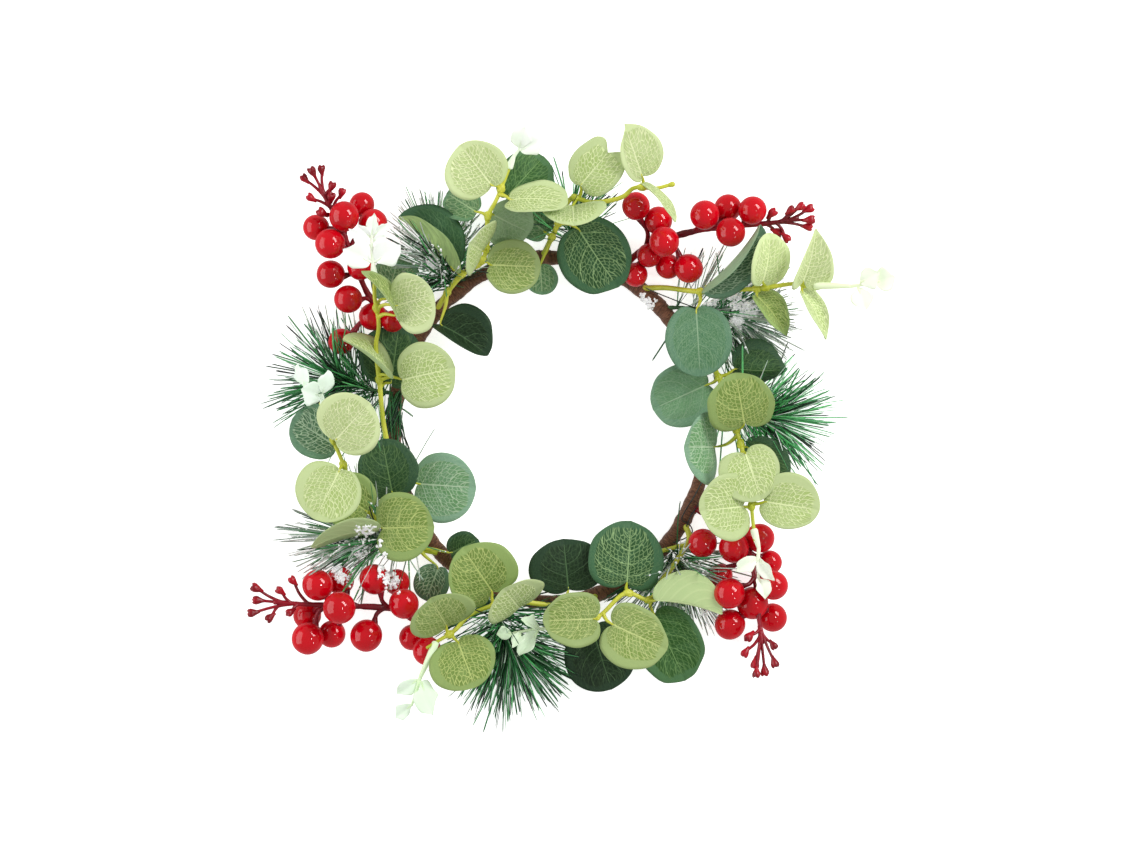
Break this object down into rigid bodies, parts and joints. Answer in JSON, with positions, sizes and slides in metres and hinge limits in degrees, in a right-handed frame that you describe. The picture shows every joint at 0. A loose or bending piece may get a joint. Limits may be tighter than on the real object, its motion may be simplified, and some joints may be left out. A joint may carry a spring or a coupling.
{
  "type": "artificial christmas wreath",
  "caption": "Small artificial Christmas wreath: oval tape-wrapped ring with round-leaved eucalyptus sprays, glossy red berry picks and snow-tipped pine sprigs, open in the middle.",
  "frame": {"origin": "middle of the wreath's extents in X and Y, on the flat underside of its ring", "axes": "+Z out of the side that faces the viewer, +Y towards the top of the wreath, +X to the viewer's right"},
  "size_m": [0.3212, 0.3012, 0.0612],
  "materials": {
    "tape": "matt crepe paper tape",
    "leaf": "satin moulded leaf, light or dark green with pale veins",
    "pale_tip": "satin near white",
    "berry": "high gloss red",
    "pine": "thin film needles, some with white flock"
  },
  "bodies": {
    "root": {"wrapped_ring": "tape", "eucalyptus_spray_1": "leaf", "eucalyptus_spray_2": "leaf", "eucalyptus_spray_3": "leaf", "eucalyptus_spray_4": "leaf", "eucalyptus_spray_5": "leaf", "eucalyptus_spray_6": "leaf", "eucalyptus_spray_7": "leaf", "eucalyptus_spray_8": "leaf", "eucalyptus_tip_1": "pale_tip", "eucalyptus_tip_3": "pale_tip", "eucalyptus_tip_4": "pale_tip", "eucalyptus_tip_5": "pale_tip", "eucalyptus_tip_6": "pale_tip", "eucalyptus_tip_7": "pale_tip", "eucalyptus_tip_8": "pale_tip", "berry_pick_1": "berry", "berry_pick_2": "berry", "berry_pick_3": "berry", "berry_pick_4": "berry", "pine_sprig_1": "pine", "pine_sprig_2": "pine", "pine_sprig_3": "pine", "pine_sprig_4": "pine", "pine_sprig_5": "pine", "pine_sprig_6": "pine", "pine_sprig_7": "pine", "pine_sprig_8": "pine"}
  },
  "joints": []
}
